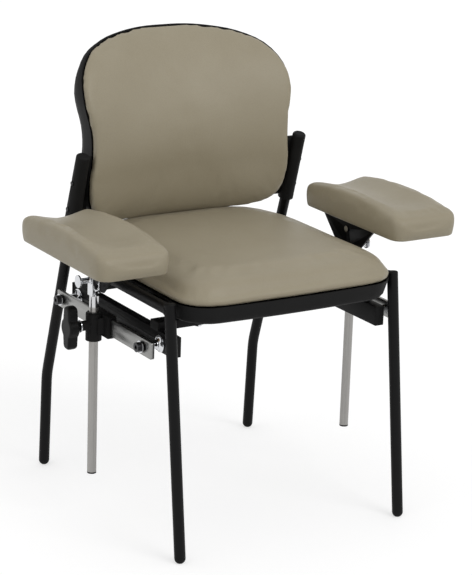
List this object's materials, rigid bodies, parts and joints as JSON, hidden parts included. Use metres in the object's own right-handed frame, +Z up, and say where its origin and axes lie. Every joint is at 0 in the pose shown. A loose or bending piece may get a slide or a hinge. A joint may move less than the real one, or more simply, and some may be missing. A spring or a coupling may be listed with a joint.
{
  "type": "phlebotomy chair",
  "caption": "Phlebotomy chair with a black tube frame, taupe upholstered seat and back, and padded arm supports that slide, swivel, rise and tilt.",
  "frame": {"origin": "on the floor, midway between the four feet", "axes": "+Z up, -Y towards the front of the seat, +X towards the sitter's left"},
  "size_m": [0.8186, 0.6042, 0.933],
  "materials": {
    "frame_black": "satin",
    "moulded_black": "matte",
    "knob_black": "matte",
    "nylon": "satin",
    "bright": "polished",
    "polished": "polished",
    "steel": "satin",
    "black_steel": "satin",
    "ply": "matte",
    "vinyl": "satin"
  },
  "bodies": {
    "frame": {"front_legs": "frame_black", "front_leg_caps": "moulded_black", "rear_uprights": "frame_black", "foot_glides": "moulded_black", "side_rails": "frame_black", "cross_tubes": "frame_black", "arm_crossbars": "frame_black", "crossbar_plugs": "moulded_black", "crossbar_spacers": "nylon", "hanger_bolts": "bright", "weld_nuts": "steel", "box_tubes": "frame_black", "box_tube_plugs": "moulded_black", "rail_standoffs": "bright", "accessory_rails": "polished", "rail_collars": "moulded_black", "rail_washers": "bright", "rail_bolts": "black_steel", "seat_pan": "moulded_black", "pan_pillars": "nylon", "pan_screws": "steel", "seat_screws": "steel", "seat_board": "ply", "seat_cushion": "vinyl", "back_shell": "moulded_black", "back_panel": "ply", "back_cushion": "vinyl", "back_screws": "black_steel"},
    "clamp_left": {"clamp_left": "moulded_black"},
    "clamp_knob_left": {"clamp_knob_left": "knob_black", "clamp_stud_left": "bright"},
    "sleeve_left": {"post_sleeve_left": "nylon"},
    "post_left": {"arm_post_left": "steel", "post_plug_left": "nylon", "post_head_left": "bright", "head_screw_left": "black_steel"},
    "arm_left": {"pad_bracket_left": "frame_black", "pad_board_left": "ply", "pad_screws_left": "black_steel", "arm_pad_left": "vinyl", "pivot_bolt_left": "bright"},
    "lock_knob_left": {"lock_knob_left": "bright", "lock_nut_left": "steel"},
    "clamp_right": {"clamp_right": "moulded_black"},
    "clamp_knob_right": {"clamp_knob_right": "knob_black", "clamp_stud_right": "bright"},
    "sleeve_right": {"post_sleeve_right": "nylon"},
    "post_right": {"arm_post_right": "steel", "post_plug_right": "nylon", "post_head_right": "bright", "head_screw_right": "black_steel"},
    "arm_right": {"pad_bracket_right": "frame_black", "pad_board_right": "ply", "pad_screws_right": "black_steel", "arm_pad_right": "vinyl", "pivot_bolt_right": "bright"},
    "lock_knob_right": {"lock_knob_right": "bright", "lock_nut_right": "steel"}
  },
  "joints": [
    {"name": "clamp_slide_left", "type": "slide", "parent": "frame", "child": "clamp_left", "axis": [0, 1, 0], "range_m": [-0.08, 0]},
    {"name": "clamp_knob_turn_left", "type": "hinge", "parent": "clamp_left", "child": "clamp_knob_left", "pos_m": [0.3032, -0.01701, 0.4075], "axis": [1, 0, 0], "range_deg": [-120, 120]},
    {"name": "arm_swivel_left", "type": "hinge", "parent": "clamp_left", "child": "sleeve_left", "pos_m": [0.3032, -0.01701, 0.4075], "axis": [0, 0, 1], "range_deg": [0, 38]},
    {"name": "arm_height_left", "type": "slide", "parent": "sleeve_left", "child": "post_left", "axis": [0, 0, 1], "range_m": [0, 0.15]},
    {"name": "arm_tilt_left", "type": "hinge", "parent": "post_left", "child": "arm_left", "pos_m": [0.2919, -0.01701, 0.534], "axis": [1, 0, 0], "range_deg": [0, 12]},
    {"name": "lock_knob_turn_left", "type": "hinge", "parent": "post_left", "child": "lock_knob_left", "pos_m": [0.3032, -0.01701, 0.499], "axis": [1, 0, 0], "range_deg": [-120, 120]},
    {"name": "clamp_slide_right", "type": "slide", "parent": "frame", "child": "clamp_right", "axis": [0, 1, 0], "range_m": [-0.08, 0]},
    {"name": "clamp_knob_turn_right", "type": "hinge", "parent": "clamp_right", "child": "clamp_knob_right", "pos_m": [-0.3032, -0.01701, 0.4075], "axis": [-1, 0, 0], "range_deg": [-120, 120]},
    {"name": "arm_swivel_right", "type": "hinge", "parent": "clamp_right", "child": "sleeve_right", "pos_m": [-0.3032, -0.01701, 0.4075], "axis": [0, 0, -1], "range_deg": [0, 38]},
    {"name": "arm_height_right", "type": "slide", "parent": "sleeve_right", "child": "post_right", "axis": [0, 0, 1], "range_m": [0, 0.15]},
    {"name": "arm_tilt_right", "type": "hinge", "parent": "post_right", "child": "arm_right", "pos_m": [-0.2919, -0.01701, 0.534], "axis": [1, 0, 0], "range_deg": [0, 12]},
    {"name": "lock_knob_turn_right", "type": "hinge", "parent": "post_right", "child": "lock_knob_right", "pos_m": [-0.3032, -0.01701, 0.499], "axis": [-1, 0, 0], "range_deg": [-120, 120]}
  ]
}
